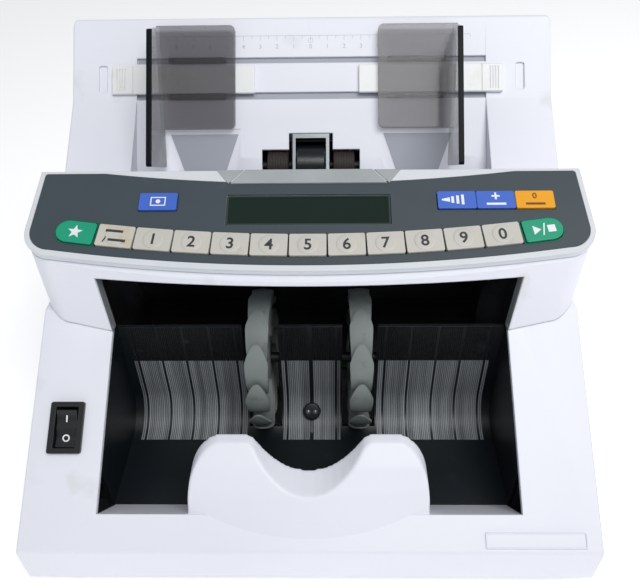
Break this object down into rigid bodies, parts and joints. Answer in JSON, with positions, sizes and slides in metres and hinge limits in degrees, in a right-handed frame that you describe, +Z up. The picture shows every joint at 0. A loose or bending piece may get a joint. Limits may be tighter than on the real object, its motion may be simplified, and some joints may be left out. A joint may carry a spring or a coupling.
{
  "type": "banknote counting machine",
  "caption": "Desktop banknote counter with a sloping hopper, sliding guides, keypad panel, vaned stacking wheels and a front pocket.",
  "frame": {"origin": "centre of the overall outline on the surface that the feet stand on", "axes": "+Z up, -Y towards the user (front), +X to the user's right"},
  "size_m": [0.291, 0.262, 0.2134],
  "materials": {
    "housing": "fine matt texture, cool white",
    "panel_rim": "satin light grey",
    "panel_slate": "satin printed film",
    "display_glass": "polished filter window",
    "display_module": "matt",
    "circuit_board": "solder resist",
    "key_grey": "matt",
    "key_green": "matt",
    "key_blue": "matt",
    "key_amber": "matt",
    "black_plastic": "semi-gloss black",
    "smoked_acrylic": "polished translucent smoke grey",
    "carriage_white": "satin",
    "zinc_steel": "zinc plated",
    "wheel_rubber": "matt grey",
    "black_rubber": "matt black",
    "feed_rubber": "matt dark brown",
    "motor_steel": "satin"
  },
  "bodies": {
    "chassis": {"base_cover": "housing", "head_cover": "housing", "hopper_cover": "housing", "rear_cover": "housing", "bottom_plate": "zinc_steel", "control_panel": "panel_rim", "panel_overlay": "panel_slate", "lcd_window": "display_glass", "lcd_module": "display_module", "key_board": "circuit_board", "main_board": "circuit_board", "switch_bezel": "black_plastic", "power_inlet": "black_plastic", "stacker_trough": "black_plastic", "note_guide": "black_plastic", "sensor_cap": "black_plastic", "side_frame_left": "zinc_steel", "side_frame_right": "zinc_steel", "pickup_frame": "zinc_steel", "main_motor": "motor_steel", "power_supply": "motor_steel", "feed_belt": "black_rubber", "stacker_belt": "black_rubber", "pickup_belt": "black_rubber", "foot_front_left": "black_rubber", "foot_front_right": "black_rubber", "foot_rear_left": "black_rubber", "foot_rear_right": "black_rubber"},
    "switch": {"switch_rocker": "black_plastic"},
    "guide_l": {"guide_left": "smoked_acrylic", "carriage_left": "carriage_white"},
    "guide_r": {"guide_right": "smoked_acrylic", "carriage_right": "carriage_white"},
    "stacker_rotor": {"stacker_shaft": "zinc_steel", "stacker_wheel_left": "wheel_rubber", "stacker_wheel_right": "wheel_rubber"},
    "pickup_rotor": {"pickup_shaft": "zinc_steel", "pickup_roller": "black_rubber", "feed_roller_left": "feed_rubber", "feed_roller_right": "feed_rubber"},
    "transport_rotor": {"transport_roller": "black_rubber"},
    "separator_rotor": {"separator_roller": "feed_rubber"},
    "motor_rotor": {"motor_pulley": "black_plastic"},
    "key_special_cap": {"key_special": "key_green"},
    "key_mode_cap": {"key_mode": "key_grey"},
    "key_1_cap": {"key_1": "key_grey"},
    "key_2_cap": {"key_2": "key_grey"},
    "key_3_cap": {"key_3": "key_grey"},
    "key_4_cap": {"key_4": "key_grey"},
    "key_5_cap": {"key_5": "key_grey"},
    "key_6_cap": {"key_6": "key_grey"},
    "key_7_cap": {"key_7": "key_grey"},
    "key_8_cap": {"key_8": "key_grey"},
    "key_9_cap": {"key_9": "key_grey"},
    "key_0_cap": {"key_0": "key_grey"},
    "key_start_stop_cap": {"key_start_stop": "key_green"},
    "key_density_cap": {"key_density": "key_blue"},
    "key_speed_cap": {"key_speed": "key_blue"},
    "key_accumulate_cap": {"key_accumulate": "key_blue"},
    "key_clear_cap": {"key_clear": "key_amber"}
  },
  "joints": [
    {"name": "key_special_press", "type": "slide", "parent": "chassis", "child": "key_special_cap", "axis": [0, 0.4112, -0.9115], "range_m": [0, 0.0008], "stiffness_N_per_m": 1500, "springref_m": -0.0004},
    {"name": "key_mode_press", "type": "slide", "parent": "chassis", "child": "key_mode_cap", "axis": [0, 0.4112, -0.9115], "range_m": [0, 0.0008], "stiffness_N_per_m": 1500, "springref_m": -0.0004},
    {"name": "key_1_press", "type": "slide", "parent": "chassis", "child": "key_1_cap", "axis": [0, 0.4112, -0.9115], "range_m": [0, 0.0008], "stiffness_N_per_m": 1500, "springref_m": -0.0004},
    {"name": "key_2_press", "type": "slide", "parent": "chassis", "child": "key_2_cap", "axis": [0, 0.4112, -0.9115], "range_m": [0, 0.0008], "stiffness_N_per_m": 1500, "springref_m": -0.0004},
    {"name": "key_3_press", "type": "slide", "parent": "chassis", "child": "key_3_cap", "axis": [0, 0.4112, -0.9115], "range_m": [0, 0.0008], "stiffness_N_per_m": 1500, "springref_m": -0.0004},
    {"name": "key_4_press", "type": "slide", "parent": "chassis", "child": "key_4_cap", "axis": [0, 0.4112, -0.9115], "range_m": [0, 0.0008], "stiffness_N_per_m": 1500, "springref_m": -0.0004},
    {"name": "key_5_press", "type": "slide", "parent": "chassis", "child": "key_5_cap", "axis": [0, 0.4112, -0.9115], "range_m": [0, 0.0008], "stiffness_N_per_m": 1500, "springref_m": -0.0004},
    {"name": "key_6_press", "type": "slide", "parent": "chassis", "child": "key_6_cap", "axis": [0, 0.4112, -0.9115], "range_m": [0, 0.0008], "stiffness_N_per_m": 1500, "springref_m": -0.0004},
    {"name": "key_7_press", "type": "slide", "parent": "chassis", "child": "key_7_cap", "axis": [0, 0.4112, -0.9115], "range_m": [0, 0.0008], "stiffness_N_per_m": 1500, "springref_m": -0.0004},
    {"name": "key_8_press", "type": "slide", "parent": "chassis", "child": "key_8_cap", "axis": [0, 0.4112, -0.9115], "range_m": [0, 0.0008], "stiffness_N_per_m": 1500, "springref_m": -0.0004},
    {"name": "key_9_press", "type": "slide", "parent": "chassis", "child": "key_9_cap", "axis": [0, 0.4112, -0.9115], "range_m": [0, 0.0008], "stiffness_N_per_m": 1500, "springref_m": -0.0004},
    {"name": "key_0_press", "type": "slide", "parent": "chassis", "child": "key_0_cap", "axis": [0, 0.4112, -0.9115], "range_m": [0, 0.0008], "stiffness_N_per_m": 1500, "springref_m": -0.0004},
    {"name": "key_start_stop_press", "type": "slide", "parent": "chassis", "child": "key_start_stop_cap", "axis": [0, 0.4112, -0.9115], "range_m": [0, 0.0008], "stiffness_N_per_m": 1500, "springref_m": -0.0004},
    {"name": "key_density_press", "type": "slide", "parent": "chassis", "child": "key_density_cap", "axis": [0, 0.4112, -0.9115], "range_m": [0, 0.0008], "stiffness_N_per_m": 1500, "springref_m": -0.0004},
    {"name": "key_speed_press", "type": "slide", "parent": "chassis", "child": "key_speed_cap", "axis": [0, 0.4112, -0.9115], "range_m": [0, 0.0008], "stiffness_N_per_m": 1500, "springref_m": -0.0004},
    {"name": "key_accumulate_press", "type": "slide", "parent": "chassis", "child": "key_accumulate_cap", "axis": [0, 0.4112, -0.9115], "range_m": [0, 0.0008], "stiffness_N_per_m": 1500, "springref_m": -0.0004},
    {"name": "key_clear_press", "type": "slide", "parent": "chassis", "child": "key_clear_cap", "axis": [0, 0.4112, -0.9115], "range_m": [0, 0.0008], "stiffness_N_per_m": 1500, "springref_m": -0.0004},
    {"name": "switch_rock", "type": "hinge", "parent": "chassis", "child": "switch", "pos_m": [-0.124, -0.08004, 0.06173], "axis": [-1, 0, 0], "range_deg": [0, 18]},
    {"name": "guide_left_slide", "type": "slide", "parent": "chassis", "child": "guide_l", "axis": [1, 0, 0], "range_m": [-0.0117, 0.0293]},
    {"name": "guide_right_slide", "type": "slide", "parent": "chassis", "child": "guide_r", "axis": [-1, 0, 0], "range_m": [-0.0163, 0.0247]},
    {"name": "stacker_spin", "type": "hinge", "parent": "chassis", "child": "stacker_rotor", "pos_m": [0, -0.027, 0.059], "axis": [1, 0, 0], "continuous": true},
    {"name": "pickup_spin", "type": "hinge", "parent": "chassis", "child": "pickup_rotor", "pos_m": [0, 0.0596, 0.1352], "axis": [1, 0, 0], "continuous": true},
    {"name": "transport_spin", "type": "hinge", "parent": "chassis", "child": "transport_rotor", "pos_m": [0, 0.047, 0.106], "axis": [1, 0, 0], "continuous": true},
    {"name": "separator_spin", "type": "hinge", "parent": "chassis", "child": "separator_rotor", "pos_m": [0, 0.0275, 0.109], "axis": [1, 0, 0], "continuous": true},
    {"name": "motor_spin", "type": "hinge", "parent": "chassis", "child": "motor_rotor", "pos_m": [0, 0.074, 0.045], "axis": [1, 0, 0], "continuous": true}
  ],
  "couplings": [
    {"joint": "transport_spin", "follows": "stacker_spin", "ratio": 1.6},
    {"joint": "pickup_spin", "follows": "stacker_spin", "ratio": 1.6},
    {"joint": "motor_spin", "follows": "stacker_spin", "ratio": 2},
    {"joint": "separator_spin", "follows": "stacker_spin", "ratio": -1.6}
  ]
}
